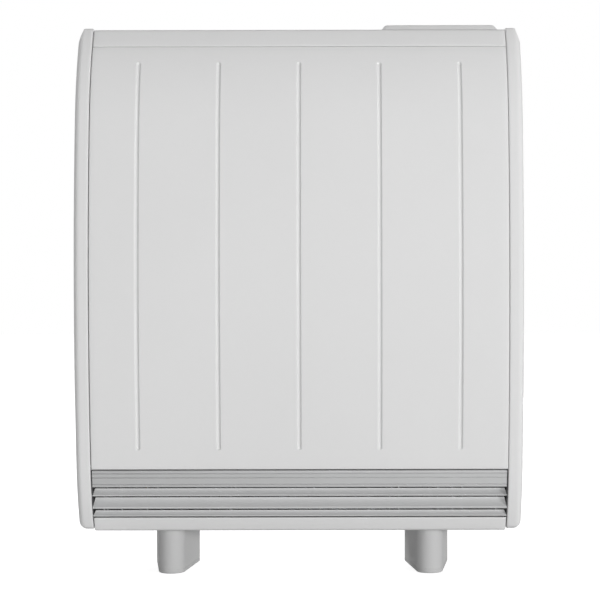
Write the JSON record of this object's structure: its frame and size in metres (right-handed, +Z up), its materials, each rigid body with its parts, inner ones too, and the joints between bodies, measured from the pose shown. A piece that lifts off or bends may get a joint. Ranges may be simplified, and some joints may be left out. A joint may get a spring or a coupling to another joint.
{
  "type": "storage heater",
  "caption": "Freestanding fan-assisted storage heater: curved white steel casing with grooved front, silver outlet grille, round-nosed feet, low control hood and brick core.",
  "frame": {"origin": "on the floor, at the middle of the heater's overall box seen from above", "axes": "+Z up, +X to the right for someone facing the heater's front, +Y from the front towards the wall"},
  "size_m": [0.582, 0.185, 0.73],
  "materials": {
    "casing_white": "fine-textured satin powder coat, white",
    "grille_silver": "satin silver-grey powder coat",
    "foot_grey": "moulded, satin mid grey",
    "screw_zinc": "bright zinc plated",
    "galvanised_steel": "galvanised, faint spangle",
    "spacer_plastic": "moulded, dark grey",
    "hood_plastic": "moulded, satin white",
    "display_pane": "smoked, polished",
    "module_plastic": "moulded frame",
    "board_laminate": "green solder mask",
    "switch_plastic": "moulded, black",
    "button_grey": "moulded, satin light grey",
    "insulation_board": "pressed mineral fibre board",
    "storage_brick": "pressed and fired, dark brown, matte",
    "element_sheath": "annealed tube, dull",
    "bush_ceramic": "unglazed, off-white",
    "impeller_aluminium": "mill finish sheet",
    "motor_steel": "black paint over laminations",
    "armature_steel": "machined",
    "bearing_bronze": "sintered, dull",
    "flap_motor_plastic": "moulded, ivory",
    "terminal_plastic": "moulded, ivory",
    "reset_red": "moulded, red"
  },
  "bodies": {
    "heater": {"left_side_panel": "casing_white", "right_side_panel": "casing_white", "top_panel": "casing_white", "front_panel": "casing_white", "outlet_grille": "grille_silver", "base_tray": "casing_white", "back_panel": "casing_white", "left_foot": "foot_grey", "right_foot": "foot_grey", "foot_screws": "screw_zinc", "wall_bracket": "galvanised_steel", "wall_spacers": "spacer_plastic", "back_screws": "screw_zinc", "control_hood": "hood_plastic", "display_window": "display_pane", "display_module": "module_plastic", "control_board": "board_laminate", "button_switches": "switch_plastic", "core_supports": "galvanised_steel", "core_case": "galvanised_steel", "core_case_cover": "galvanised_steel", "insulation_front": "insulation_board", "insulation_rear": "insulation_board", "insulation_left": "insulation_board", "insulation_right": "insulation_board", "insulation_top": "insulation_board", "insulation_base": "insulation_board", "storage_bricks_front": "storage_brick", "storage_bricks_rear": "storage_brick", "heating_elements": "element_sheath", "element_bushes": "bush_ceramic", "fan_housing": "galvanised_steel", "fan_motor": "motor_steel", "fan_bearing": "bearing_bronze", "air_duct": "galvanised_steel", "flap_motor": "flap_motor_plastic", "boost_element": "element_sheath", "board_bracket": "galvanised_steel", "power_board": "board_laminate", "terminal_block": "terminal_plastic", "cable_gland": "switch_plastic", "thermal_cutout": "bush_ceramic", "core_sensor": "element_sheath", "room_sensor": "switch_plastic"},
    "fan_rotor": {"fan_impeller": "impeller_aluminium", "motor_armature": "armature_steel"},
    "flap": {"mixing_flap": "galvanised_steel"},
    "menu_key": {"menu_button": "button_grey"},
    "minus_key": {"minus_button": "button_grey"},
    "ok_key": {"ok_button": "button_grey"},
    "plus_key": {"plus_button": "button_grey"},
    "boost_key": {"boost_button": "button_grey"},
    "reset_key": {"reset_button": "reset_red"}
  },
  "joints": [
    {"name": "fan_spin", "type": "hinge", "parent": "heater", "child": "fan_rotor", "pos_m": [0, 0.0443, 0.108], "axis": [1, 0, 0], "continuous": true},
    {"name": "flap_turn", "type": "hinge", "parent": "heater", "child": "flap", "pos_m": [0, 0.0083, 0.1333], "axis": [1, 0, 0], "range_deg": [0, 40]},
    {"name": "menu_press", "type": "slide", "parent": "heater", "child": "menu_key", "axis": [0, 0, -1], "range_m": [0, 0.0008], "stiffness_N_per_m": 2000},
    {"name": "minus_press", "type": "slide", "parent": "heater", "child": "minus_key", "axis": [0, 0, -1], "range_m": [0, 0.0008], "stiffness_N_per_m": 2000},
    {"name": "ok_press", "type": "slide", "parent": "heater", "child": "ok_key", "axis": [0, 0, -1], "range_m": [0, 0.0008], "stiffness_N_per_m": 2000},
    {"name": "plus_press", "type": "slide", "parent": "heater", "child": "plus_key", "axis": [0, 0, -1], "range_m": [0, 0.0008], "stiffness_N_per_m": 2000},
    {"name": "boost_press", "type": "slide", "parent": "heater", "child": "boost_key", "axis": [0, 0, -1], "range_m": [0, 0.0008], "stiffness_N_per_m": 2000},
    {"name": "reset_press", "type": "slide", "parent": "heater", "child": "reset_key", "axis": [-1, 0, 0], "range_m": [0, 0.001], "stiffness_N_per_m": 2000}
  ]
}
